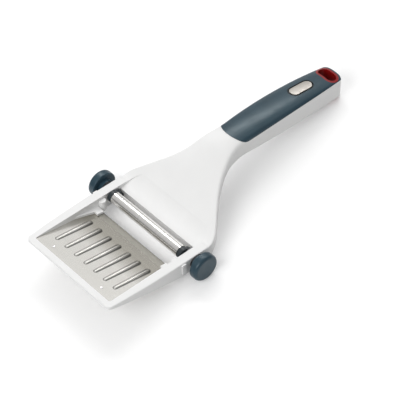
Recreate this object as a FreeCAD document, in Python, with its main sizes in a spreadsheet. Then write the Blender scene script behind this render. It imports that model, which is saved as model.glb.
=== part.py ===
import FreeCAD, Part
import math
import os
import re
import Sketcher
from FreeCAD import Placement, Rotation, Vector

# Adjustable hand slicer: a white head with a ribbed blade plate, a steel roller whose height is
# set by two knobs, and a raised handle with a soft grip.
# Every piece is drawn with x across (right knob at +x), y from the front lip to the tail of the
# handle and z up from the plane of the rim. All pieces are then laid down together, the way the
# slicer rests on a table on its knobs and the tail of its handle.

DRIVING = (
    # Head
    ("head_width", 90, "across the outside of the side rims"),
    ("front_taper", 2.6, "how much narrower each side is at the front lip"),
    ("taper_length", 60, "front lip to where the sides run straight"),
    ("front_bar", 4.5, "width of the front bar"),
    ("side_rim", 6.8, "width of a side rim"),
    ("lip_height", 2.6, "height of the front lip"),
    ("heel_depth", 12.6, "height of the side walls at the knobs"),
    ("heel_lead", 11.5, "full height of the side walls begins ahead of the dial axis"),
    ("corner_round", 3.5, "front corners in plan"),
    ("edge_round", 0.8, "long edges of the head"),
    ("well_round", 1.5, "front corners of the well"),
    ("rear_bar", 4.9, "wall behind the roller, along the rim"),
    ("ramp_radius", 26.3, "hollow of the ramp"),
    ("ramp_meet", 1.16, "ramp runs into the climb of the neck ahead of the end of the foot"),
    ("ramp_bite", 0.3, "how far the ramp cuts into the climb of the neck"),
    ("ramp_length", 12.2, "scoop behind the head"),
    ("ramp_corner", 12, "rear corners of the scoop in plan"),
    # Neck and handle
    ("overall_length", 243.6, "front lip to the tail"),
    ("shoulder_radius", 18, "outer turn of the plan from rim to neck"),
    ("neck_angle", 43, "degrees, neck sides in plan"),
    ("neck_radius", 60, "inner turn of the plan from neck to handle"),
    ("neck_climb", 37, "degrees, neck top in side view"),
    ("foot_radius", 14, "hollow of the neck top where it leaves the rim"),
    ("crest_soften", 1.1, "softening of the crest between neck and handle"),
    ("under_climb", 35, "degrees, neck underside in side view"),
    ("under_soften", 2.2, "softening of the underside between neck and handle"),
    ("neck_length", 66.2, "head to the lower front corner of the grip"),
    ("belly_height", 18, "handle underside above the rim, at its front"),
    ("belly_lead", 10, "front of the handle underside ahead of the grip"),
    ("belly_fall", 2.5, "degrees that the handle underside falls to the tail"),
    ("grip_half", 12.4, "half of the widest part of the grip"),
    ("waist_in", 0.7, "how much narrower each side is at the waist"),
    ("tail_in", 2.3, "how much narrower each side is at the tail"),
    ("peak_behind", 30, "highest and widest part of the grip behind its front"),
    ("peak_height", 36.6, "grip above the rim at that point"),
    ("arch_radius", 370, "arch of the grip in side view"),
    ("crown_radius", 26, "crown of the grip across"),
    ("crown_lead", 20.2, "crown begins behind the head"),
    ("top_round", 3.4, "top edges of the handle"),
    ("under_round", 5, "bottom edges of the handle"),
    ("inner_round", 0.5, "least edge radius inside the handle"),
    ("tail_round", 6.5, "tail corners in plan"),
    ("shell_wall", 2.2, "wall of the handle shell, and the grip's thickness"),
    # Grip, badge and hang hole
    ("seam_peak", 32.1, "highest point of the seam above the rim"),
    ("seam_behind", 42, "highest part of the seam behind the front of the grip"),
    ("seam_radius", 500, "arch of the seam"),
    ("grip_slant", 28, "degrees, front edge of the grip in side view"),
    ("nose_round", 8, "lower front corner of the grip in side view"),
    ("seam_gap", 0.1, "parting line between grip and shell"),
    ("carrier_depth", 4, "carrier below the seam"),
    ("channel_behind", 6, "handle channel behind the front of the grip"),
    ("badge_inset", 32.9, "middle of the badge ahead of the tail"),
    ("badge_length", 19.2, "badge"),
    ("badge_width", 7.4, "badge"),
    ("badge_thick", 1.6, "badge"),
    ("badge_groove", 1.0, "shadow groove around the badge"),
    ("hole_inset", 6.9, "middle of the hang hole ahead of the tail"),
    ("hole_width", 18, "hang hole across, outside the liner"),
    ("hole_length", 11.4, "hang hole along, outside the liner"),
    ("hole_round", 5.6, "corners of the hang hole"),
    ("hole_flat", 0.05, "least straight side of the hang hole, beside its corners"),
    ("liner_wall", 1.6, "wall of the liner"),
    # Blade plate
    ("plate_drop", 0.4, "plate below the rim at the front bar"),
    ("plate_slope", 8.7, "degrees that the plate falls to its cutting edge"),
    ("plate_reach", 58.5, "front lip to the cutting edge"),
    ("plate_thick", 0.8, "sheet thickness"),
    ("plate_tuck", 1.8, "how far the plate's edges sit in the frame"),
    ("plate_fit", 0.05, "clearance around the plate in its slot"),
    ("bevel_length", 3, "ground bevel under the cutting edge"),
    ("rib_count", 7, "ribs"),
    ("rib_pitch", 9.9, "between ribs"),
    ("rib_start", 16.4, "front lip to the front of a rib"),
    ("rib_end", 44, "front lip to the rear of a rib"),
    ("rib_radius", 2.2, "rib at its rear"),
    ("rib_tip", 1.6, "rib at its front"),
    ("rib_sink", 0.9, "rib axis below the plate's top"),
    ("pin_spread", 24.5, "pins from the middle"),
    ("pin_place", 9.2, "front lip to the pins"),
    ("pin_radius", 0.5, "pin shank"),
    ("pin_head", 0.7, "pin head radius"),
    ("pin_head_thick", 0.2, "pin head"),
    ("shelf_end", 12.5, "front lip to the rear of the shelf under the plate"),
    ("lug_thick", 1.8, "keeper lugs above the plate"),
    ("lug_reach", 6.2, "keeper lugs out of the side walls"),
    ("lug_length", 5.4, "keeper lugs along the wall"),
    ("lug_taper", 19, "tapered lead of the keeper lugs"),
    ("post_radius", 2.6, "round posts behind the plate"),
    ("post_gap", 0.6, "posts behind the cutting edge"),
    ("post_inset", 0.8, "middle of the posts inside the side walls"),
    ("post_drop", 2.4, "tops of the posts below the rim"),
    # Dial and roller
    ("throat", 15, "dial axis behind the cutting edge"),
    ("dial_drop", 5.3, "dial axis below the rim"),
    ("throw_ahead", 3.4, "roller axis ahead of the dial axis"),
    ("throw_up", 2.35, "roller axis above the dial axis"),
    ("roller_radius", 4.4, "roller"),
    ("tube_wall", 0.8, "roller tube"),
    ("axle_radius", 1.5, "roller axle"),
    ("axle_edge", 0.3, "rounded ends of the axle"),
    ("bush_length", 7, "plugs in the roller's ends"),
    ("run_fit", 0.06, "radial clearance of what turns"),
    ("seat_fit", 0.02, "radial clearance of what is fixed"),
    ("end_play", 0.4, "side clearance of what turns"),
    ("cheek_thick", 3.2, "eccentric discs"),
    ("cheek_radius", 4.4, "eccentric discs around the axle"),
    ("boss_radius", 4.2, "eccentric discs around the shaft"),
    ("shaft_radius", 3, "dial shafts"),
    ("shaft_flat", 2.1, "flat of the dial shafts from their axis"),
    ("sleeve_wall", 1, "bearing sleeves"),
    ("flange_radius", 5, "flanges of the sleeves"),
    ("flange_thick", 0.8, "flanges of the sleeves"),
    ("knob_gap", 4.2, "side walls to the knobs"),
    ("ring_radius", 5.4, "friction rings"),
    ("ring_thick", 1.4, "friction rings"),
    ("stem_radius", 5.6, "necks of the knob cores"),
    ("knob_radius", 10, "knobs"),
    ("knob_thick", 6.3, "knobs"),
    ("knob_round", 2.2, "outer edge of the knobs"),
    ("knob_edge", 0.7, "inner edge of the knobs"),
    ("hub_radius", 7.4, "knob cores"),
    ("hub_thick", 4, "knob cores"),
    ("shaft_grip", 3.4, "how far a shaft goes into its knob"),
    ("screw_radius", 1.2, "knob screws"),
    ("screw_length", 9, "knob screws, under the head"),
    ("screw_head", 2.8, "knob screw heads"),
    ("screw_head_thick", 1.6, "knob screw heads"),
    ("pointer_width", 3.2, "setting marks on the outer walls"),
    ("pointer_ahead", 1.2, "setting marks ahead of the knobs"),
    ("pointer_proud", 1, "setting marks"),
    ("pointer_drop", 0.9, "setting marks below the rim"),
    ("pointer_length", 7.5, "setting marks"),
)

DERIVED = (
    ("half_head", "=head_width / 2", "side of the head from the middle"),
    ("front_half", "=half_head - front_taper", "side of the front lip from the middle"),
    ("dial_place", "=plate_reach + throat", "dial axis"),
    ("well_end", "=dial_place + flange_radius + end_play", "wall behind the roller"),
    ("head_length", "=well_end + rear_bar", "end of the head and start of the neck"),
    ("heel_start", "=dial_place - heel_lead", "start of the full height of the side walls"),
    ("ramp_end", "=head_length + ramp_length", "rear of the scoop"),
    ("crown_start", "=head_length + crown_lead", "start of the crown"),
    ("grip_front", "=head_length + neck_length", "lower front corner of the grip"),
    ("belly_start", "=grip_front - belly_lead", "front of the handle underside"),
    ("peak_place", "=grip_front + peak_behind", "highest and widest part of the grip"),
    ("seam_place", "=grip_front + seam_behind", "highest part of the seam"),
    ("channel_start", "=grip_front + channel_behind", "front of the handle channel"),
    ("badge_place", "=overall_length - badge_inset", "middle of the badge"),
    ("hole_place", "=overall_length - hole_inset", "middle of the hang hole"),
    ("ramp_y", "=head_length + (foot_radius - ramp_radius + ramp_bite) * sin(neck_climb * 1deg)"
     " - ramp_meet * cos(neck_climb * 1deg)", "axis of the hollow of the ramp"),
    ("ramp_z", "=foot_radius + (ramp_radius - ramp_bite - foot_radius) * cos(neck_climb * 1deg)"
     " - ramp_meet * sin(neck_climb * 1deg)", "axis of the hollow of the ramp"),
    ("well_half", "=half_head - side_rim", "side of the well from the middle"),
    ("plate_fall", "=tan(plate_slope * 1deg)", "fall of the plate per length"),
    ("plate_front", "=front_bar - plate_tuck", "front edge of the plate"),
    ("plate_half", "=well_half + plate_tuck", "side edge of the plate"),
    ("plate_front_z", "=-plate_drop + plate_tuck * plate_fall", "plate top at its front edge"),
    ("plate_edge_z", "=-plate_drop - (plate_reach - front_bar) * plate_fall", "cutting edge"),
    ("bevel_place", "=plate_reach - bevel_length", "front of the ground bevel"),
    ("bevel_z", "=plate_edge_z + bevel_length * plate_fall - plate_thick", "top of the bevel"),
    ("plate_under_z", "=plate_front_z - plate_thick", "plate underside at its front edge"),
    ("heel_z", "=-heel_depth", "bottom of the side walls"),
    ("lip_z", "=-lip_height", "bottom of the front lip"),
    ("dial_z", "=-dial_drop", "dial axis"),
    ("roller_place", "=dial_place - throw_ahead", "roller axis"),
    ("roller_z", "=dial_z + throw_up", "roller axis"),
    ("flange_in", "=well_half - flange_thick", "inner face of the sleeve flanges"),
    ("cheek_out", "=flange_in - end_play", "outer face of the eccentric discs"),
    ("cheek_in", "=cheek_out - cheek_thick", "inner face of the eccentric discs"),
    ("roller_half", "=cheek_in - end_play", "end of the roller from the middle"),
    ("sleeve_radius", "=shaft_radius + run_fit + sleeve_wall", "outside of the sleeves"),
    ("hub_in", "=half_head + ring_thick", "inner end of the knob cores"),
    ("knob_in", "=half_head + knob_gap", "inner face of the knobs"),
    ("hub_out", "=knob_in + hub_thick", "outer face of the knob cores"),
    ("knob_out", "=knob_in + knob_thick", "outer face of the knobs"),
    ("shaft_out", "=hub_in + shaft_grip", "end of the shafts"),
    ("head_in", "=hub_out - screw_head_thick", "seat of the screw heads"),
    ("screw_in", "=head_in - screw_length", "tip of the screws"),
    ("channel_end", "=hole_place - hole_length / 2 - shell_wall", "rear of the handle channel"),
)

ALONG_X = Rotation(Vector(0, 1, 0), 90)
SIDES = (("right", 1), ("left", -1))
REACH = 400  # longer than the slicer, for cutting blocks
NEAR = 0.01  # closeness at which two places count as one
SECTION_STEP = 6  # greatest distance between sections of the handle
LEAST_SPANS = 3  # least number of spans between those sections
FINE_MESH = 0.05  # closeness of the points that find how the slicer rests
STEEPEST_REST = 45  # degrees, more than the slicer ever tilts at rest
HALVINGS = 50  # steps that find the tilt at rest

doc = FreeCAD.newDocument("hand_slicer")
sheet = doc.addObject("Spreadsheet::Sheet", "Sizes")
for row, (alias, amount, note) in enumerate(DRIVING + DERIVED, 1):
    sheet.set(f"A{row}", note)
    sheet.set(f"B{row}", str(amount))
    sheet.setAlias(f"B{row}", alias)
doc.recompute()
ALIASES = [alias for alias, amount, note in DRIVING + DERIVED]


def size(alias):
    return float(sheet.get(alias))


def sized(text):
    """Expression text with each size's name made a reference to its cell."""
    return re.sub(r"[a-z_]+", lambda word: f"Sizes.{word[0]}" if word[0] in ALIASES else word[0], text)


def bind(item, **sizes):
    """Bind properties to sizes; x, y and z stand for the item's place."""
    for name, text in sizes.items():
        path = f"Placement.Base.{name}" if name in "xyz" else name
        item.setExpression(path, sized(text))
    return item


def box(name, x, y, z, Length, Width, Height):
    item = doc.addObject("Part::Box", name)
    return bind(item, x=x, y=y, z=z, Length=Length, Width=Width, Height=Height)


def post(name, radius, x, y, z, height):
    """Cylinder along z."""
    item = doc.addObject("Part::Cylinder", name)
    return bind(item, Radius=radius, Height=height, x=x, y=y, z=z)


def rod(name, side, radius, inner, outer, place="dial_place", level="dial_z"):
    """Cylinder along x between two distances from the middle, on one side."""
    item = doc.addObject("Part::Cylinder", name)
    item.Placement.Rotation = ALONG_X
    start = inner if side > 0 else f"-({outer})"
    return bind(item, Radius=radius, Height=f"{outer} - ({inner})", x=start, y=place, z=level)


def joined(name, items):
    item = doc.addObject("Part::MultiFuse", name)
    item.Shapes = items
    return item


def cut(name, base, tool):
    item = doc.addObject("Part::Cut", name)
    item.Base = base
    item.Tool = tool
    return item


def common(name, base, tool):
    item = doc.addObject("Part::Common", name)
    item.Base = base
    item.Tool = tool
    return item


def rounded(name, base, chosen):
    """Fillet of each edge to which chosen gives a radius."""
    doc.recompute()
    item = doc.addObject("Part::Fillet", name)
    item.Base = base
    radii = [(number, chosen(edge)) for number, edge in enumerate(base.Shape.Edges, 1)]
    item.Edges = [(number, radius, radius) for number, radius in radii if radius]
    return item


def sketch_on(body, role, corners):
    """Closed sketch whose corners are pairs of sizes, on one of the body's origin planes."""
    plane = next(item for item in body.Origin.OriginFeatures if item.Role == role)
    sketch = body.newObject("Sketcher::SketchObject", body.Name + "_outline")
    sketch.AttachmentSupport = (plane, [""])
    sketch.MapMode = "FlatFace"

    def amount(alias):
        if alias == "0":
            return 0.0
        return -size(alias[1:]) if alias.startswith("-") else size(alias)

    points = [Vector(amount(across), amount(up), 0) for across, up in corners]
    count = len(points)
    for number in range(count):
        sketch.addGeometry(Part.LineSegment(points[number], points[(number + 1) % count]), False)
    for number in range(count):
        sketch.addConstraint(Sketcher.Constraint("Coincident", number, 2, (number + 1) % count, 1))
    for number, pair in enumerate(corners):
        for kind, alias in zip(("DistanceX", "DistanceY"), pair):
            rule = Sketcher.Constraint(kind, -1, 1, number, 1, amount(alias))
            index = sketch.addConstraint(rule)
            if alias != "0":
                sketch.setExpression(f"Constraints[{index}]", sized(alias))
    return sketch


def slab(name, role, corners, length):
    """Body padded evenly to both sides of one of its origin planes."""
    body = doc.addObject("PartDesign::Body", name)
    pad = body.newObject("PartDesign::Pad", name + "_pad")
    pad.Profile = sketch_on(body, role, corners)
    pad.SideType = "Symmetric"
    pad.setExpression("Length", sized(length))
    return body


def upright(edge, x, y):
    """Whether an edge runs along z through (x, y)."""
    low, high = edge.BoundBox.ZMin, edge.BoundBox.ZMax
    middle = edge.BoundBox.Center
    return high - low > NEAR and abs(abs(middle.x) - x) < NEAR and abs(middle.y - y) < NEAR


# Form of the neck and handle

def smooth(value, start, end):
    share = min(max((value - start) / (end - start), 0), 1)
    return share * share * (3 - 2 * share)


def lesser(one, other, soften):
    """Smaller of two heights, softened where they cross."""
    return (one + other) / 2 - math.hypot((one - other) / 2, soften)


def neck_corners():
    """Ends of the plan's straight neck side and of the neck itself, as (y, half width)."""
    angle = math.radians(size("neck_angle"))
    waist = size("grip_half") - size("waist_in")
    first_y = size("head_length") + size("shoulder_radius") * math.sin(angle)
    first_half = size("half_head") - size("shoulder_radius") * (1 - math.cos(angle))
    second_half = waist + size("neck_radius") * (1 - math.cos(angle))
    second_y = first_y + (first_half - second_half) / math.tan(angle)
    return (first_y, first_half), (second_y, second_half), second_y + size("neck_radius") * math.sin(angle)


def plan_half(y):
    """Half width in plan: rim, shoulder arc, straight side, neck arc and bowed grip."""
    (first_y, first_half), (second_y, second_half), waist_y = neck_corners()
    if y <= first_y:
        radius = size("shoulder_radius")
        along = max(y - size("head_length"), 0)
        return size("half_head") - radius + math.sqrt(radius ** 2 - along ** 2)
    if y <= second_y:
        return first_half + (second_half - first_half) * (y - first_y) / (second_y - first_y)
    if y <= waist_y:
        radius = size("neck_radius")
        along = waist_y - y
        return size("grip_half") - size("waist_in") + radius - math.sqrt(radius ** 2 - along ** 2)
    peak = size("peak_place")
    if y <= peak:
        return size("grip_half") - size("waist_in") * ((peak - y) / (peak - waist_y)) ** 2
    return size("grip_half") - size("tail_in") * ((y - peak) / (size("overall_length") - peak)) ** 2


def top_height(y):
    """Top in side view: hollow foot, straight climb and arched grip."""
    climb = math.radians(size("neck_climb"))
    radius = size("foot_radius")
    along = max(y - size("head_length"), 0)
    if along < radius * math.sin(climb):
        neck = radius - math.sqrt(radius ** 2 - along ** 2)
    else:
        neck = radius * (1 - math.cos(climb)) + (along - radius * math.sin(climb)) * math.tan(climb)
    arch = size("peak_height") - (y - size("peak_place")) ** 2 / (2 * size("arch_radius"))
    return lesser(neck, arch, size("crest_soften"))


def under_height(y):
    """Underside in side view: straight climb from the heel, then the falling belly."""
    climb = size("heel_z") + (y - size("head_length")) * math.tan(math.radians(size("under_climb")))
    fall = math.tan(math.radians(size("belly_fall")))
    belly = size("belly_height") - (y - size("belly_start")) * fall
    return lesser(climb, belly, size("under_soften"))


def form_section(y, inset):
    """Wire across the neck or handle: crowned top, straight sides and rounded edges."""
    share = smooth(y, size("crown_start"), size("grip_front"))
    growth = smooth(y, size("head_length"), size("grip_front"))
    blend = smooth(y, size("head_length"), size("crown_start"))
    half = plan_half(y) - inset
    top = top_height(y) - inset
    bottom = under_height(y) + inset
    plain, least = size("edge_round"), size("inner_round")
    round_top = max(plain + (size("top_round") - plain) * blend - inset, least)
    round_low = max(plain + (size("under_round") - plain) * growth - inset, least)
    flatness = 1 / (REACH * REACH)
    crown = 1 / (flatness + share / size("crown_radius")) - inset
    centre = top - crown
    corner = half - round_top
    corner_z = centre + math.sqrt((crown - round_top) ** 2 - corner ** 2)
    lean = math.atan2(corner, corner_z - centre)
    middle = (lean + math.pi / 2) / 2
    low = half - round_low
    turn = round_low * (1 - math.sqrt(0.5))

    def at(x, z):
        return Vector(x, y, z)

    top_right = (crown * math.sin(lean), centre + crown * math.cos(lean))
    mid_right = (corner + round_top * math.sin(middle), corner_z + round_top * math.cos(middle))
    edges = [
        Part.LineSegment(at(-low, bottom), at(low, bottom)),
        Part.Arc(at(low, bottom), at(half - turn, bottom + turn), at(half, bottom + round_low)),
        Part.LineSegment(at(half, bottom + round_low), at(half, corner_z)),
        Part.Arc(at(half, corner_z), at(*mid_right), at(*top_right)),
        Part.Arc(at(*top_right), at(0, top), at(-top_right[0], top_right[1])),
        Part.Arc(at(-top_right[0], top_right[1]), at(-mid_right[0], mid_right[1]), at(-half, corner_z)),
        Part.LineSegment(at(-half, corner_z), at(-half, bottom + round_low)),
        Part.Arc(at(-half, bottom + round_low), at(-half + turn, bottom + turn), at(-low, bottom)),
    ]
    return Part.Wire([edge.toShape() for edge in edges])


def handle_form(name, start, end, inset=0.0):
    """Solid through sections of the neck and handle from one y to another."""
    count = max(math.ceil((end - start) / SECTION_STEP), LEAST_SPANS)
    wires = [form_section(start + (end - start) * number / count, inset) for number in range(count + 1)]
    item = doc.addObject("Part::Feature", name)
    item.Shape = Part.makeLoft(wires, True, False)
    return item


def tail_block(name):
    """Block whose rear end is the plan of the tail."""
    straight_y = size("overall_length") - size("tail_round")
    side = plan_half(straight_y) + size("edge_round") / 4
    item = doc.addObject("Part::Feature", name)
    inner = side - size("tail_round")
    whole = Part.makeBox(REACH, straight_y, REACH, Vector(-REACH / 2, 0, -REACH / 2))
    end = Part.makeBox(2 * inner, size("overall_length"), REACH, Vector(-inner, 0, -REACH / 2))
    corners = [Part.makeCylinder(size("tail_round"), REACH, Vector(sign * inner, straight_y, -REACH / 2))
               for sign in (1, -1)]
    item.Shape = whole.fuse([end] + corners)
    return item


def seam_drum(name, radius):
    """Drum along x whose top is the arch of the seam."""
    drum = doc.addObject("Part::Cylinder", name)
    drum.Placement = Placement(Vector(-REACH / 2, 0, 0), ALONG_X)
    drum.Height = REACH
    return bind(drum, Radius=radius, y="seam_place", z="seam_peak - seam_radius")


def grip_core(name, gap=0.0):
    """Everything below the seam and ahead of the grip's front edge."""
    drum = seam_drum(name + "_drum", f"seam_radius + {gap}")
    block = doc.addObject("Part::Box", name + "_front")
    block.Length = block.Width = block.Height = REACH
    slant = Rotation(Vector(1, 0, 0), -size("grip_slant"))
    along = size("grip_front") - size("seam_place")
    seam_z = size("seam_peak") - size("seam_radius") + math.sqrt(size("seam_radius") ** 2 - along ** 2)
    corner = Vector(0, size("grip_front"), seam_z + gap)
    block.Placement = Placement(corner + slant.multVec(Vector(-REACH / 2, -REACH, -REACH)), slant)

    def nose_rounding(edge):
        middle = edge.BoundBox.Center
        inner = abs(middle.y - corner.y) < NEAR and abs(middle.z - corner.z) < NEAR
        return size("nose_round") if inner and edge.BoundBox.XLength > REACH / 2 else 0

    return rounded(name, joined(name + "_blank", [drum, block]), nose_rounding)


def rounded_hole(name, inset):
    """Upright block with round corners, the hang hole less an inset all around."""
    block = doc.addObject("Part::Box", name + "_block")
    bind(block, Length=f"hole_width - 2 * {inset}", x=f"{inset} - hole_width / 2",
         Width=f"hole_length - 2 * {inset}", y=f"hole_place + {inset} - hole_length / 2")
    block.Height = REACH
    block.Placement.Base.z = -REACH / 2
    widest = min(size("hole_width"), size("hole_length")) / 2 - size("hole_flat")
    shrink = size(inset) if inset in ALIASES else 0
    radius = min(size("hole_round"), widest) - shrink
    return rounded(name, block, lambda edge: radius if edge.BoundBox.ZLength > NEAR else 0)


# Handle pieces

outer_form = handle_form("outer_form", size("head_length"), size("overall_length") + size("tail_round"))
outer_form = common("handle_outline", outer_form, tail_block("tail_plan"))
inner_form = handle_form("inner_form", size("channel_start"), size("channel_end"), size("shell_wall"))
carrier_inset = size("shell_wall") + size("seam_gap")
carrier_form = handle_form("carrier_form", size("channel_start") + size("seam_gap"),
                           size("channel_end") - size("seam_gap"), carrier_inset)
hole = rounded_hole("hang_hole", "0")

grip_carrier = cut("grip_carrier", carrier_form, seam_drum("carrier_floor", "seam_radius - carrier_depth"))


def badge_block(name, grow, thick):
    """Plate with round ends on the crown of the grip."""
    place = size("badge_place")
    reach = size("badge_length") / 2
    slope = math.degrees(math.atan2(top_height(place + reach) - top_height(place - reach), 2 * reach))
    half = size("badge_width") / 2 + grow
    straight = reach + grow - half
    base = top_height(place) - thick
    bar = Part.makeBox(2 * half, 2 * straight, 2 * thick, Vector(-half, -straight, 0))
    ends = [Part.makeCylinder(half, 2 * thick, Vector(0, sign * straight, 0)) for sign in (1, -1)]
    item = doc.addObject("Part::Feature", name)
    item.Shape = bar.fuse(ends).removeSplitter()
    item.Placement = Placement(Vector(0, place, base), Rotation(Vector(1, 0, 0), slope))
    return item


badge_recess = badge_block("badge_recess", size("badge_groove"), size("badge_thick") + size("seat_fit"))
badge_plate = common("badge_plate", badge_block("badge_bar", 0.0, size("badge_thick")), outer_form)

grip_tools = joined("grip_tools", [grip_core("grip_floor", size("seam_gap")), inner_form, hole, badge_recess])
grip_skin = cut("grip_skin", outer_form, grip_tools)

liner_bore = rounded_hole("liner_bore", "liner_wall")
liner_tube = rounded_hole("liner_tube", "seat_fit")
hang_liner = common("hang_liner", cut("liner_shell", liner_tube, liner_bore), outer_form)

# Frame: head, neck and handle shell

head_corners = (("0", "0"), ("head_length", "0"), ("head_length", "heel_z"), ("heel_start", "heel_z"),
                ("0", "lip_z"))
head_slab = slab("head_slab", "YZ_Plane", head_corners, "head_width")


def head_outline(name):
    """Block with the plan of the head, whose sides bow in towards the front lip."""
    half, front, along = size("half_head"), size("front_half"), size("taper_length")
    radius = (along ** 2 + (half - front) ** 2) / (2 * (half - front))
    bow = half - radius + math.sqrt(radius ** 2 - (along / 2) ** 2)

    def at(x, y):
        return Vector(x, y, -REACH / 2)

    rear = size("head_length")
    edges = [
        Part.LineSegment(at(-front, 0), at(front, 0)),
        Part.Arc(at(front, 0), at(bow, along / 2), at(half, along)),
        Part.LineSegment(at(half, along), at(half, rear)),
        Part.LineSegment(at(half, rear), at(-half, rear)),
        Part.LineSegment(at(-half, rear), at(-half, along)),
        Part.Arc(at(-half, along), at(-bow, along / 2), at(-front, 0)),
    ]
    item = doc.addObject("Part::Feature", name)
    item.Shape = Part.Face(Part.Wire([edge.toShape() for edge in edges])).extrude(Vector(0, 0, REACH))
    return item


def head_rounding(edge):
    return size("corner_round") if upright(edge, size("front_half"), 0) else 0


def head_edges(edge):
    """Long outer edges, top and bottom, up to the neck."""
    outer = min(abs(corner.X) for corner in edge.Vertexes) > size("front_half") - NEAR
    return size("edge_round") if outer and edge.BoundBox.YLength > NEAR else 0


head_blank = common("head_blank", head_slab, head_outline("head_outline"))
head_block = rounded("head_block", rounded("head_plan", head_blank, head_rounding), head_edges)

handle_shell = common("handle_shell", outer_form, grip_core("shell_top"))

well = box("well", "-well_half", "front_bar", f"-{REACH / 2}", "2 * well_half", "well_end - front_bar",
           f"{REACH}")


def well_rounding(edge):
    return size("well_round") if upright(edge, size("well_half"), size("front_bar")) else 0


def scoop_rounding(edge):
    return size("ramp_corner") if upright(edge, size("well_half"), size("ramp_end")) else 0


well = rounded("well_cut", well, well_rounding)
scoop = box("scoop", "-well_half", "well_end / 2", f"-{REACH / 2}", "2 * well_half",
            "ramp_end - well_end / 2", f"{REACH}")
ramp = rod("ramp", 1, "ramp_radius", f"-{REACH / 2}", f"{REACH / 2}", "ramp_y", "ramp_z")
scoop = common("scoop_cut", rounded("scoop_plan", scoop, scoop_rounding), ramp)


def on_plate(name, corners, low, high):
    """Solid with a plan given as (x, y), between two heights above the plate's sloping top."""
    def at(x, y):
        fall = (y - size("front_bar")) * size("plate_fall")
        return Vector(x, y, low - size("plate_drop") - fall)

    floor = Part.Face(Part.makePolygon([at(x, y) for x, y in corners + corners[:1]]))
    item = doc.addObject("Part::Feature", name)
    item.Shape = floor.extrude(Vector(0, 0, high - low))
    return item


slot_half = size("plate_half") + size("plate_fit")
slot_front = size("plate_front") - size("plate_fit")
slot_end = size("plate_reach") + size("post_gap")
slot_plan = [(-slot_half, slot_front), (slot_half, slot_front), (slot_half, slot_end), (-slot_half, slot_end)]
plate_slot = on_plate("plate_slot", slot_plan, -size("plate_thick") - size("plate_fit"), size("plate_fit"))

lug_end = size("plate_reach")
lug_start = lug_end - size("lug_length")
lug_wall = size("well_half") + size("plate_tuck") / 2
lug_tip = size("well_half") - size("lug_reach")
lug_shoulder = size("well_half") - size("lug_reach") / 2
shelf_half = size("well_half") + size("plate_tuck") / 2
shelf_front = size("front_bar") - size("plate_tuck") / 2
shelf_plan = [(-shelf_half, shelf_front), (shelf_half, shelf_front), (shelf_half, size("shelf_end")),
              (-shelf_half, size("shelf_end"))]
shelf_top = -size("plate_thick") - size("plate_fit")
shelf_low = -size("lip_height") + size("plate_drop")
additions = [on_plate("plate_shelf", shelf_plan, shelf_low, shelf_top)]
for side_name, side in SIDES:
    lug_plan = [(side * lug_wall, lug_start - size("lug_taper")), (side * lug_shoulder, lug_start),
                (side * lug_tip, lug_start), (side * lug_tip, lug_end), (side * lug_wall, lug_end)]
    additions.append(on_plate(f"lug_{side_name}", lug_plan, size("plate_fit"), size("lug_thick")))
    across = "well_half - post_inset" if side > 0 else "post_inset - well_half"
    additions.append(post(f"post_{side_name}", "post_radius", across,
                          "plate_reach + post_gap + post_radius", "heel_z / 2 + plate_edge_z / 2",
                          "-heel_z / 2 - plate_edge_z / 2 - post_drop"))
    start = "half_head - pointer_proud" if side > 0 else "-half_head - pointer_proud"
    additions.append(box(f"pointer_{side_name}", start,
                         "dial_place - knob_radius - pointer_ahead - pointer_width / 2",
                         "-pointer_drop - pointer_length", "2 * pointer_proud", "pointer_width",
                         "pointer_length"))

bores = [rod(f"bore_{side_name}", side, "sleeve_radius + seat_fit", "well_half / 2", "half_head * 2")
         for side_name, side in SIDES]
pin_holes = [post(f"pin_hole_{side_name}", "pin_radius + seat_fit", f"{side} * pin_spread", "pin_place",
                  "lip_z * 4", "lip_height * 4") for side_name, side in SIDES]

shell = joined("shell", [head_block, handle_shell])
hollowed = cut("hollowed", shell, joined("hollows", [well, scoop, inner_form, hole]))
furnished = joined("furnished", [hollowed] + additions)
frame_body = cut("frame_body", furnished, joined("frame_cuts", [plate_slot] + bores + pin_holes))

# Blade plate and its pins

plate_corners = (("plate_front", "plate_front_z"), ("plate_reach", "plate_edge_z"),
                 ("bevel_place", "bevel_z"), ("plate_front", "plate_under_z"))
plate_slab = slab("plate_slab", "YZ_Plane", plate_corners, "2 * plate_half")
DOWN_SLOPE = Rotation(Vector(1, 0, 0), -90 - size("plate_slope"))


def rib(number):
    """Pressed rib, narrow at its front and round at both ends."""
    across = f"({number} - (rib_count - 1) / 2) * rib_pitch"
    front_z = "-plate_drop - (rib_start - front_bar) * plate_fall - rib_sink"
    rear_z = "-plate_drop - (rib_end - front_bar) * plate_fall - rib_sink"
    cone = doc.addObject("Part::Cone", f"rib_{number}")
    cone.Placement.Rotation = DOWN_SLOPE
    bind(cone, Radius1="rib_tip", Radius2="rib_radius", x=across, y="rib_start", z=front_z,
         Height="(rib_end - rib_start) / cos(plate_slope * 1deg)")
    balls = []
    for radius, place, level in (("rib_tip", "rib_start", front_z), ("rib_radius", "rib_end", rear_z)):
        ball = doc.addObject("Part::Sphere", f"rib_end_{number}")
        balls.append(bind(ball, Radius=radius, x=across, y=place, z=level))
    return [cone] + balls


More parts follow.
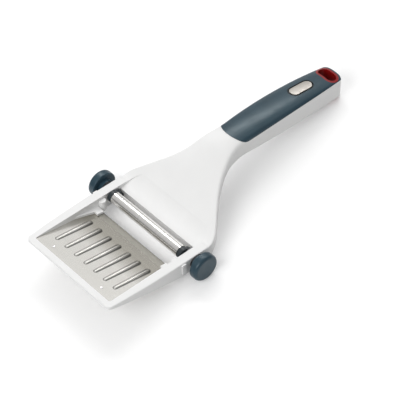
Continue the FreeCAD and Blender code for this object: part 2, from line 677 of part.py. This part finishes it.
rib_solids = [solid for number in range(int(size("rib_count"))) for solid in rib(number)]
plate_plan = [(-size("plate_half"), size("plate_front")), (size("plate_half"), size("plate_front")),
              (size("plate_half"), size("plate_reach")), (-size("plate_half"), size("plate_reach"))]
above_plate = on_plate("above_plate", plate_plan, -size("plate_thick") / 2, size("rib_radius"))
ribs = common("ribs", joined("rib_bars", rib_solids), above_plate)
plate_holes = [post(f"plate_hole_{side_name}", "pin_radius + plate_fit", f"{side} * pin_spread", "pin_place",
                    "lip_z * 4", "lip_height * 8") for side_name, side in SIDES]
ribbed_plate = joined("ribbed_plate", [plate_slab, ribs])
blade_plate = cut("blade_plate", ribbed_plate, joined("plate_holes", plate_holes))

pin_top = "-plate_drop - (pin_place - front_bar) * plate_fall"
pins = []
for side_name, side in SIDES:
    shank = post(f"pin_shank_{side_name}", "pin_radius", f"{side} * pin_spread", "pin_place",
                 f"{pin_top} - lip_height + plate_drop",
                 "lip_height - plate_drop + pin_head * plate_fall + plate_fit + pin_head_thick / 2")
    head = post(f"pin_head_{side_name}", "pin_head", f"{side} * pin_spread", "pin_place",
                f"{pin_top} + pin_head * plate_fall + plate_fit", "pin_head_thick")
    pins.append(joined(f"pin_{side_name}", [shank, head]))
plate_pins = doc.addObject("Part::Compound", "plate_pins")
plate_pins.Links = pins

# Roller

tube_bore = "roller_radius - tube_wall"
roller_line = {"place": "roller_place", "level": "roller_z"}
tube_outside = rod("tube_outside", 1, "roller_radius", "-roller_half", "roller_half", **roller_line)
tube_inside = rod("tube_inside", 1, tube_bore, "-roller_half * 2", "roller_half * 2", **roller_line)
roller_tube = cut("roller_tube", tube_outside, tube_inside)
axle_rod = rod("axle_rod", 1, "axle_radius", "-cheek_out", "cheek_out", **roller_line)


def axle_rounding(edge):
    return size("axle_edge") if edge.BoundBox.XLength < NEAR else 0


roller_axle = rounded("roller_axle", axle_rod, axle_rounding)
subparts = [frame_body, blade_plate, plate_pins, grip_carrier, grip_skin, badge_plate, hang_liner,
            roller_tube, roller_axle]

# Pieces that each side of the head has


def keyed_shaft(name, side, grow, inner, outer):
    """Shaft with a flat along its top."""
    round_shaft = rod(f"{name}_round", side, f"shaft_radius + {grow}", inner, outer)
    flat = box(f"{name}_flat", f"{inner}" if side > 0 else f"-({outer})", "dial_place - shaft_radius * 2",
               f"dial_z + shaft_flat + {grow}", f"{outer} - ({inner})", "shaft_radius * 4", "shaft_radius")
    return cut(name, round_shaft, flat)


def side_pieces(side_name, side):
    def named(word):
        return f"{word}_{side_name}"

    def bar(word, radius, inner, outer, **line):
        return rod(named(word), side, radius, inner, outer, **line)

    roller_bush = cut(named("roller_bush"),
                      bar("bush_plug", f"{tube_bore} - seat_fit", "roller_half - bush_length", "roller_half",
                          **roller_line),
                      bar("bush_bore", "axle_radius + run_fit", "0", "roller_half * 2", **roller_line))

    crank = joined(named("crank_solid"), [
        bar("crank_disc", "cheek_radius", "cheek_in", "cheek_out", **roller_line),
        bar("crank_boss", "boss_radius", "cheek_in", "cheek_out"),
        bar("crank_journal", "shaft_radius", "cheek_in", "half_head"),
        keyed_shaft(named("crank_key"), side, "0", "half_head", "shaft_out"),
    ])
    crank = cut(named("crank"), crank, joined(named("crank_bores"), [
        bar("crank_axle_bore", "axle_radius + seat_fit", "0", "half_head * 2", **roller_line),
        bar("crank_screw_bore", "screw_radius + seat_fit", "screw_in - end_play", "half_head * 2"),
    ]))

    wall_bush = cut(named("wall_bush"),
                    joined(named("bush_solid"), [
                        bar("bush_sleeve", "sleeve_radius", "flange_in", "half_head"),
                        bar("bush_flange", "flange_radius", "flange_in", "well_half - seat_fit"),
                    ]),
                    bar("bush_shaft_bore", "shaft_radius + run_fit", "0", "half_head * 2"))

    friction_ring = cut(named("friction_ring"),
                        bar("ring_disc", "ring_radius", "half_head + run_fit", "hub_in - seat_fit"),
                        bar("ring_bore", "shaft_radius + run_fit", "0", "half_head * 2"))

    hub_solid = joined(named("hub_solid"), [
        bar("hub_stem", "stem_radius", "hub_in", "hub_out"),
        bar("hub_disc", "hub_radius", "knob_in", "hub_out"),
    ])
    knob_hub = cut(named("knob_hub"), hub_solid,
                   joined(named("hub_bores"), [
                       keyed_shaft(named("hub_key"), side, "seat_fit", "hub_in / 2", "shaft_out + seat_fit"),
                       bar("hub_screw_bore", "screw_radius + run_fit", "0", "knob_out"),
                       bar("hub_head_bore", "screw_head + run_fit", "head_in", "knob_out"),
                   ]))

    knob_screw = joined(named("knob_screw"), [
        bar("screw_shank", "screw_radius", "screw_in", "head_in"),
        bar("screw_cap", "screw_head", "head_in", "hub_out - seat_fit"),
    ])

    def knob_rounding(edge):
        if edge.Curve.TypeId != "Part::GeomCircle":
            return 0
        outward = abs(edge.BoundBox.Center.x)
        return size("knob_round") if abs(outward - size("knob_out")) < NEAR else size("knob_edge")

    cover_blank = bar("cover_blank", "knob_radius", "knob_in", "knob_out")
    cover = rounded(named("cover_disc"), cover_blank, knob_rounding)
    knob_cover = cut(named("knob_cover"), cover,
                     bar("cover_cavity", "hub_radius + seat_fit", "knob_in / 2", "hub_out + seat_fit"))

    return [roller_bush, crank, wall_bush, friction_ring, knob_hub, knob_screw, knob_cover]


for side_name, side in SIDES:
    subparts += side_pieces(side_name, side)

# Check every object before anything is written

doc.recompute()
for item in doc.Objects:
    if "Invalid" in item.State or "Error" in item.State:
        raise RuntimeError(f"{item.Name} failed: {item.State}")
for item in subparts:
    item.Label = item.Name
    if item.Shape.isNull() or not item.Shape.isValid():
        raise RuntimeError(f"{item.Name} has no valid shape")


# Lay the slicer down on its knobs and its tail

def rest_tilt():
    """Turn about x that brings the tail down to the table when the knobs stand on it."""
    points = frame_body.Shape.tessellate(FINE_MESH)[0]
    tail = [point for point in points if point.y > size("peak_place")]
    low, high = 0.0, math.radians(STEEPEST_REST)
    for attempt in range(HALVINGS):
        tilt = (low + high) / 2

        def level(y, z):
            return z * math.cos(tilt) - y * math.sin(tilt)

        knob_low = level(size("dial_place"), size("dial_z")) - size("knob_radius")
        if min(level(point.y, point.z) for point in tail) > knob_low:
            low = tilt
        else:
            high = tilt
    return math.degrees(low)


turned = Rotation(Vector(1, 0, 0), -rest_tilt())
whole = FreeCAD.BoundBox()
for item in subparts:
    item.Placement = Placement(Vector(), turned)
    whole.add(item.Shape.optimalBoundingBox(False))
laid = Placement(Vector(-whole.Center.x, -whole.Center.y, -whole.ZMin), turned)

os.makedirs("parts", exist_ok=True)
for item in subparts:
    item.Placement = laid
    item.Shape.exportStep(f"parts/{item.Label}.step")
print("turned", turned.toEuler(), "moved", laid.Base, "box", whole.XLength, whole.YLength, whole.ZLength)
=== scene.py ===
"""Adjustable hand slicer on a pale table, seen from its right front."""
import math

import bpy
from mathutils import Matrix, Vector


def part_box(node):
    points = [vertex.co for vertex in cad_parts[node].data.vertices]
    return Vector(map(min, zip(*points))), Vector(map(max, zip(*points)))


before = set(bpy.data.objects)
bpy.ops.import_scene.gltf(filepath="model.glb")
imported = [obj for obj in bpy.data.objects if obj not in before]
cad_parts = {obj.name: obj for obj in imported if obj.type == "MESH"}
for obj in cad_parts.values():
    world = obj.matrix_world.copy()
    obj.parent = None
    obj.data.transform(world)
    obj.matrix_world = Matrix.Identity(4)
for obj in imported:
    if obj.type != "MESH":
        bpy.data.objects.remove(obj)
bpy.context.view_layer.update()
scene = bpy.context.scene
scene.view_settings.view_transform = "Standard"

# How the slicer lies and how it is seen, in metres and degrees. The camera was fitted to the plane
# of the head's rim, which tilts as the slicer rests on its knobs and tail.
REST_TILT = 9.630466
REST_MOVE = Vector((0.0, -0.122520, 0.027521))
VIEW_AZIMUTH = 48.015
VIEW_ELEVATION = 45.495
VIEW_TARGET = Vector((0.008702, 0.109517, 0.0))
VIEW_DISTANCE = 1.354136
VIEW_LENS = 180.0
VIEW_SENSOR = 36.0
VIEW_END = 20.0

# Table and light: places and sizes in metres, lamps in watts, the sky as a strength. Each rise is
# the height, or the closeness to the glow's middle, over which that part of the sky brightens.
TABLE_SIZE = 6.0
TABLE_WHITE = (0.82, 0.82, 0.82)
TABLE_ROUGHNESS = 0.9
TABLE_GLOW = 0.22
KEY_PLACE = (-0.76, 0.80, 1.22)
KEY_SIZE = (1.4, 0.25)
KEY_POWER = 9.2
FILL_PLACE = (0.10, -1.15, 1.10)
FILL_SIZE = (1.0, 1.0)
FILL_POWER = 11.0
HORIZON_LIGHT = 0.12
ZENITH_LIGHT = 0.56
ZENITH_RISE = (0.05, 0.75)
GLOW_LIGHT = 0.34
GLOW_RISE = (0.45, 0.95)
GLOW_FROM = Vector((-0.72, 0.62, 0.30)).normalized()

# Colours
PURE_WHITE = (1, 1, 1)
WHITE = (0.83, 0.83, 0.825)
SLATE = (0.018, 0.045, 0.065)
SLATE_GLOSS = (0.86, 0.97, 1.0)
DARK_SLATE = (0.016, 0.024, 0.029)
RED = (0.27, 0.006, 0.006)
STEEL = (0.80, 0.785, 0.745)
# Darker steel: painted darker reflection of the plate towards its cutting edge
STEEL_DARK = (0.46, 0.44, 0.39)
# Painted shade in the creases around the ribs and along the cutting edge
PAINTED_SHADE = (0.10, 0.10, 0.095)
# Rib steel: ribs painted darker than the plate, darkest towards their rear ends, as a painted
# darker reflection
RIB_STEEL = (0.67, 0.66, 0.63)
RIB_STEEL_DARK = (0.235, 0.228, 0.21)
ROLLER = (0.90, 0.885, 0.86)
BADGE = (0.53, 0.50, 0.46)
PLAIN_STEEL = (0.56, 0.56, 0.57)
GREY_PLASTIC = (0.22, 0.22, 0.23)
RUBBER = (0.012, 0.013, 0.015)

# Moulded plastic: noise per metre, the depth of its grain in metres, and how far its gloss varies;
# the groove values set the painted shade in the groove around the badge
CLOUD_SCALE = 60.0
CLOUD_DETAIL = 4.0
GLOSS_SCALE = 220.0
GLOSS_DETAIL = 3.0
GLOSSIER = 0.04
DULLER = 0.05
GRAIN_SCALE = 4200.0
GRAIN_DETAIL = 2.0
GRAIN_DEPTH = 0.00004
GROOVE_SHADE = 0.1
GROOVE_WIDTH = 0.001
GROOVE_FADE = 0.0005

# Brushed metal: streaks per metre along each axis, their depth in metres, and how far they vary
EVEN_GRAIN = (900, 900, 900)
BADGE_GRAIN = (2600, 60, 60)
ROLLER_GRAIN = (2400, 12, 12)
AXLE_GRAIN = (1800, 20, 20)
STREAK_DETAIL = 4.0
STREAK_DEPTH = 0.00002
STREAK_DARK = 0.93
STREAK_LIGHT = 1.05
STREAK_GLOSSIER = 0.04
STREAK_DULLER = 0.06

# Ribs of the blade plate, as distances from its cutting edge and from each other, in metres
RIB_COUNT = 7
RIB_PITCH = 0.0099
RIB_FRONT = 0.0404
RIB_REAR = 0.0139
RIB_TIP = 0.00132
RIB_HALF = 0.00201
PLATE_COSINE = 0.949

# Steel of the blade plate: distances from its cutting edge or from a rib's outline in metres,
# shares of the painted shade colour, and what is added to the roughness. The plate carries a
# painted darker reflection towards its cutting edge, and painted shade around its ribs and along
# that edge.
PLATE_GRAIN = (30, 700, 700)
PLATE_DETAIL = 2.0
PLATE_GLOSS = (0.17, 0.205)
PAINTED_REFLECTION_FROM = 0.028
PAINTED_REFLECTION_TO = 0.013
RIB_SHADE_FROM = 0.026
RIB_DULL = 0.26
CREASE_CORE = 0.00025
CREASE_FADE = 0.0005
CREASE_DEPTH = 0.65
EDGE_DULL_FROM = 0.011
EDGE_DULL = 0.14
EDGE_SHADE = 0.5
EDGE_LINE_FROM = 0.0012

# Middle range of a noise, and the colour sockets of a mix node
NOISE_LOW = 0.3
NOISE_HIGH = 0.7
MIX_FIRST = 6
MIX_SECOND = 7
MIX_RESULT = 2


# Materials

class Nodes:
    """Small helper that adds and links the nodes of a material or of the world."""

    def __init__(self, owner, shader):
        owner.use_nodes = True
        self.owner = owner
        self.tree = owner.node_tree
        self.shader = self.tree.nodes[shader]

    def add(self, kind, **values):
        node = self.tree.nodes.new(kind)
        for name, value in values.items():
            setattr(node, name, value)
        return node

    def link(self, source, target):
        self.tree.links.new(source, target)

    def split(self, vector):
        """Parts of a vector along each axis."""
        parts = self.add("ShaderNodeSeparateXYZ")
        self.link(vector, parts.inputs["Vector"])
        return parts.outputs

    def place(self, stretch):
        """Object coordinates, scaled along each axis."""
        coordinates = self.add("ShaderNodeTexCoord")
        mapping = self.add("ShaderNodeMapping")
        mapping.inputs["Scale"].default_value = stretch
        self.link(coordinates.outputs["Object"], mapping.inputs["Vector"])
        return mapping.outputs["Vector"]

    def axes(self):
        """Object coordinates across and along the slicer."""
        parts = self.split(self.place((1, 1, 1)))
        return parts["X"], parts["Y"]

    def noise(self, scale, detail, stretch=(1, 1, 1)):
        node = self.add("ShaderNodeTexNoise")
        node.inputs["Scale"].default_value = scale
        node.inputs["Detail"].default_value = detail
        self.link(self.place(stretch), node.inputs["Vector"])
        return node.outputs["Fac"]

    def spread(self, source, low, high, start=NOISE_LOW, end=NOISE_HIGH, ease="LINEAR"):
        """A value's range from start to end, spread from low to high."""
        node = self.add("ShaderNodeMapRange", interpolation_type=ease)
        node.inputs["From Min"].default_value = start
        node.inputs["From Max"].default_value = end
        node.inputs["To Min"].default_value = low
        node.inputs["To Max"].default_value = high
        self.link(source, node.inputs["Value"])
        return node.outputs["Result"]

    def math(self, operation, *terms):
        """Result of an operation on numbers and other nodes' outputs."""
        node = self.add("ShaderNodeMath", operation=operation)
        for socket, term in zip(node.inputs, terms):
            if isinstance(term, (int, float)):
                socket.default_value = term
            else:
                self.link(term, socket)
        return node.outputs["Value"]

    def length(self, across, along):
        """Length of a step across and along."""
        step = self.add("ShaderNodeCombineXYZ")
        self.link(across, step.inputs["X"])
        self.link(along, step.inputs["Y"])
        node = self.add("ShaderNodeVectorMath", operation="LENGTH")
        self.link(step.outputs["Vector"], node.inputs[0])
        return node.outputs["Value"]

    def blend(self, factor, first, second):
        """Colour between two, each of which is given or comes from a node."""
        node = self.add("ShaderNodeMix", data_type="RGBA")
        self.link(factor, node.inputs["Factor"])
        for socket, colour in ((node.inputs[MIX_FIRST], first), (node.inputs[MIX_SECOND], second)):
            if isinstance(colour, tuple):
                socket.default_value = (*colour, 1)
            else:
                self.link(colour, socket)
        return node.outputs[MIX_RESULT]

    def bump(self, height, strength, distance):
        node = self.add("ShaderNodeBump")
        node.inputs["Strength"].default_value = strength
        node.inputs["Distance"].default_value = distance
        self.link(height, node.inputs["Height"])
        self.link(node.outputs["Normal"], self.shader.inputs["Normal"])


def material_nodes(name):
    return Nodes(bpy.data.materials.new(name), "Principled BSDF")


def shade(colour, amount):
    return tuple(channel * amount for channel in colour)


def badge_groove_shade(nodes):
    """Mask of the badge and the narrow groove around it, where the grip is darkened as painted
    shade.
    """
    low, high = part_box("badge_plate")
    half_width = (high[0] - low[0]) / 2
    straight = (high[1] - low[1]) / 2 - half_width
    x, y = nodes.axes()
    along = nodes.math("ABSOLUTE", nodes.math("SUBTRACT", y, (low[1] + high[1]) / 2))
    beyond = nodes.math("MAXIMUM", nodes.math("SUBTRACT", along, straight), 0.0)
    edge = half_width + GROOVE_WIDTH
    return nodes.spread(nodes.length(x, beyond), 1.0, 0.0, edge, edge + GROOVE_FADE)


def moulded(name, colour, roughness, grain=0.12, mottle=0.05, specular=0.5,
            gloss_tint=PURE_WHITE, groove=None):
    """Moulded plastic: a fine spark-eroded grain, a faint unevenness of colour and gloss, and
    painted shade in a groove where a groove mask is given.
    """
    nodes = material_nodes(name)
    nodes.shader.inputs["Specular IOR Level"].default_value = specular
    nodes.shader.inputs["Specular Tint"].default_value = (*gloss_tint, 1)
    cloud = nodes.spread(nodes.noise(CLOUD_SCALE, CLOUD_DETAIL), 0.0, 1.0)
    tint = nodes.blend(cloud, shade(colour, 1 - mottle), shade(colour, 1 + mottle))
    if groove:
        # Painted shade in the recess around the badge
        tint = nodes.blend(groove(nodes), tint, shade(colour, GROOVE_SHADE))
    nodes.link(tint, nodes.shader.inputs["Base Color"])
    gloss = nodes.noise(GLOSS_SCALE, GLOSS_DETAIL)
    gloss = nodes.spread(gloss, roughness - GLOSSIER, roughness + DULLER)
    nodes.link(gloss, nodes.shader.inputs["Roughness"])
    nodes.bump(nodes.noise(GRAIN_SCALE, GRAIN_DETAIL), grain, GRAIN_DEPTH)
    return nodes.owner


def brushed(name, colour, roughness, stretch, scratch=0.10):
    """Metal with a fine grain, along one direction where it is stretched."""
    nodes = material_nodes(name)
    nodes.shader.inputs["Metallic"].default_value = 1.0
    streaks = nodes.noise(1.0, STREAK_DETAIL, stretch)
    lightness = nodes.spread(streaks, 0.0, 1.0)
    tint = nodes.blend(lightness, shade(colour, STREAK_DARK), shade(colour, STREAK_LIGHT))
    nodes.link(tint, nodes.shader.inputs["Base Color"])
    gloss = nodes.spread(streaks, roughness - STREAK_GLOSSIER, roughness + STREAK_DULLER)
    nodes.link(gloss, nodes.shader.inputs["Roughness"])
    nodes.bump(streaks, scratch, STREAK_DEPTH)
    return nodes.owner


def rib_crease_shade(nodes, x, y, edge_y):
    """Masks of the painted shade in the creases around the plate's ribs, and of the ribs
    themselves.
    """
    start = edge_y - RIB_FRONT
    end = edge_y - RIB_REAR
    across = nodes.math("PINGPONG", x, RIB_PITCH / 2)
    ahead = nodes.math("MAXIMUM", nodes.math("SUBTRACT", start, y), 0.0)
    behind = nodes.math("MAXIMUM", nodes.math("SUBTRACT", y, end), 0.0)
    beyond = nodes.math("DIVIDE", nodes.math("ADD", ahead, behind), PLATE_COSINE)
    half_width = nodes.spread(y, RIB_TIP, RIB_HALF, start, end)
    outside = nodes.math("SUBTRACT", nodes.length(across, beyond), half_width)
    from_outline = nodes.math("ABSOLUTE", outside)
    line = nodes.spread(from_outline, CREASE_DEPTH, 0.0, CREASE_CORE, CREASE_FADE)
    ribbed = nodes.math("LESS_THAN", nodes.math("ABSOLUTE", x), RIB_PITCH * RIB_COUNT / 2)
    on_rib = nodes.math("LESS_THAN", outside, 0.0)
    return nodes.math("MULTIPLY", line, ribbed), nodes.math("MULTIPLY", on_rib, ribbed)


def blade_steel(name):
    """Satin plate: painted darker reflection towards its cutting edge and on its ribs, painted
    shade in creases around the ribs and along the edge; the ribs and the edge are also rougher.
    """
    edge_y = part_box("blade_plate")[1][1]
    edge_line_y = edge_y - EDGE_LINE_FROM
    dull_y = edge_y - EDGE_DULL_FROM
    nodes = material_nodes(name)
    nodes.shader.inputs["Metallic"].default_value = 1.0
    x, y = nodes.axes()
    # Painted shade: dark lines in the creases around the ribs
    crease_shade, on_rib = rib_crease_shade(nodes, x, y, edge_y)
    # Painted darker reflection: the plate's colour darkens towards its cutting edge
    along = nodes.spread(y, 0.0, 1.0, edge_y - PAINTED_REFLECTION_FROM, edge_y - PAINTED_REFLECTION_TO)
    painted_reflection = nodes.blend(along, STEEL, STEEL_DARK)
    # Painted darker reflection on the ribs, deepening towards their rear ends
    rib_along = nodes.spread(y, 0.0, 1.0, edge_y - RIB_SHADE_FROM, edge_y - RIB_REAR)
    rib_painted_reflection = nodes.blend(rib_along, RIB_STEEL, RIB_STEEL_DARK)
    tint = nodes.blend(crease_shade, nodes.blend(on_rib, painted_reflection, rib_painted_reflection), PAINTED_SHADE)
    # Painted shade along the cutting edge: a faint wide band, then a narrow dark line at the edge
    edge_shade = nodes.spread(y, 0.0, EDGE_SHADE, dull_y, edge_line_y)
    edge_line_shade = nodes.spread(y, 0.0, CREASE_DEPTH, edge_line_y, edge_y)
    tint = nodes.blend(edge_line_shade, nodes.blend(edge_shade, tint, PAINTED_SHADE), PAINTED_SHADE)
    nodes.link(tint, nodes.shader.inputs["Base Color"])
    streaks = nodes.spread(nodes.noise(1.0, PLATE_DETAIL, PLATE_GRAIN), *PLATE_GLOSS)
    rib_dull = nodes.math("MULTIPLY", on_rib, RIB_DULL)
    edge_dull = nodes.spread(y, 0.0, EDGE_DULL, dull_y, edge_line_y)
    gloss = nodes.math("ADD", streaks, nodes.math("ADD", rib_dull, edge_dull))
    nodes.link(gloss, nodes.shader.inputs["Roughness"])
    return nodes.owner


slate_grip = moulded("slate_soft_touch", SLATE, roughness=0.33, grain=0.35, mottle=0.10,
                     specular=0.56, gloss_tint=SLATE_GLOSS, groove=badge_groove_shade)
slate_knob = moulded("slate_knob", SLATE, roughness=0.36, grain=0.2, mottle=0.08,
                     specular=0.5, gloss_tint=SLATE_GLOSS)
white_plastic = moulded("white_plastic", WHITE, roughness=0.48, grain=0.06, mottle=0.012,
                        specular=0.27)
dark_plastic = moulded("dark_plastic", DARK_SLATE, roughness=0.4, grain=0.2)
grey_plastic = moulded("grey_plastic", GREY_PLASTIC, roughness=0.5)
MATERIALS = {
    "frame_body": white_plastic,
    "blade_plate": blade_steel("blade_steel"),
    "plate_pins": brushed("pin_steel", PLAIN_STEEL, 0.35, EVEN_GRAIN),
    "grip_carrier": grey_plastic,
    "grip_skin": slate_grip,
    "badge_plate": brushed("badge_metal", BADGE, 0.34, BADGE_GRAIN),
    "hang_liner": moulded("red_plastic", RED, roughness=0.3, grain=0.05),
    "roller_tube": brushed("roller_steel", ROLLER, 0.09, ROLLER_GRAIN, scratch=0.03),
    "roller_axle": brushed("axle_steel", PLAIN_STEEL, 0.3, AXLE_GRAIN),
    "roller_bush": grey_plastic,
    "wall_bush": grey_plastic,
    "crank": dark_plastic,
    "knob_hub": slate_knob,
    "friction_ring": moulded("ring_rubber", RUBBER, roughness=0.6, grain=0.3),
    "knob_cover": slate_knob,
    "knob_screw": brushed("screw_steel", PLAIN_STEEL, 0.3, EVEN_GRAIN),
}
for name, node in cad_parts.items():
    family = name.removesuffix("_left").removesuffix("_right")
    node.data.materials.clear()
    node.data.materials.append(MATERIALS[family])


# Table, light and camera

def table():
    """White table whose own colour fills the background and which keeps the slicer's shadow."""
    bpy.ops.mesh.primitive_plane_add(size=TABLE_SIZE, location=(0, 0, 0))
    plane = bpy.context.object
    plane.name = "table"
    nodes = material_nodes("table_white")
    rays = nodes.add("ShaderNodeLightPath").outputs
    seen = nodes.math("ADD", rays["Is Camera Ray"], rays["Is Glossy Ray"])
    seen = nodes.math("ADD", seen, rays["Is Transmission Ray"])
    glow = nodes.math("MULTIPLY", nodes.math("MINIMUM", seen, 1.0), TABLE_GLOW)
    nodes.shader.inputs["Base Color"].default_value = (*TABLE_WHITE, 1)
    nodes.shader.inputs["Roughness"].default_value = TABLE_ROUGHNESS
    nodes.shader.inputs["Specular IOR Level"].default_value = 0.0
    nodes.shader.inputs["Emission Color"].default_value = (*PURE_WHITE, 1)
    nodes.link(glow, nodes.shader.inputs["Emission Strength"])
    plane.data.materials.append(nodes.owner)


def sky():
    """Studio dome: bright overhead and behind on the left, dark near the horizon elsewhere."""
    nodes = Nodes(bpy.data.worlds.new("studio"), "Background")
    scene.world = nodes.owner
    direction = nodes.add("ShaderNodeTexCoord").outputs["Generated"]
    height = nodes.split(direction)["Z"]
    facing = nodes.add("ShaderNodeVectorMath", operation="DOT_PRODUCT")
    nodes.link(direction, facing.inputs[0])
    facing.inputs[1].default_value = GLOW_FROM
    dome = nodes.spread(height, HORIZON_LIGHT, ZENITH_LIGHT, *ZENITH_RISE, "SMOOTHSTEP")
    glow = nodes.spread(facing.outputs["Value"], 0.0, GLOW_LIGHT, *GLOW_RISE, "SMOOTHSTEP")
    nodes.link(nodes.math("ADD", dome, glow), nodes.shader.inputs["Strength"])
    nodes.shader.inputs["Color"].default_value = (*PURE_WHITE, 1)


def softbox(name, place, size, power):
    """Rectangular lamp that faces the middle of the slicer."""
    lamp = bpy.data.lights.new(name, "AREA")
    lamp.shape = "RECTANGLE"
    lamp.size, lamp.size_y = size
    lamp.energy = power
    item = bpy.data.objects.new(name, lamp)
    scene.collection.objects.link(item)
    item.location = place
    item.rotation_euler = (-Vector(place)).to_track_quat("-Z", "Y").to_euler()


def photo_camera():
    """Camera at the photograph's place: aimed in the rim's frame, then tilted with the slicer."""
    data = bpy.data.cameras.new("camera")
    data.lens = VIEW_LENS
    data.sensor_width = VIEW_SENSOR
    data.clip_end = VIEW_END
    item = bpy.data.objects.new("camera", data)
    scene.collection.objects.link(item)
    aim = Matrix.Rotation(math.radians(VIEW_AZIMUTH), 4, "Z")
    aim = aim @ Matrix.Rotation(math.radians(90 - VIEW_ELEVATION), 4, "X")
    offset = aim @ Vector((0, 0, VIEW_DISTANCE))
    laid = Matrix.Translation(REST_MOVE) @ Matrix.Rotation(math.radians(-REST_TILT), 4, "X")
    item.matrix_world = laid @ Matrix.Translation(VIEW_TARGET + offset) @ aim
    scene.camera = item


table()
sky()
softbox("key", KEY_PLACE, KEY_SIZE, KEY_POWER)
softbox("fill", FILL_PLACE, FILL_SIZE, FILL_POWER)
photo_camera()
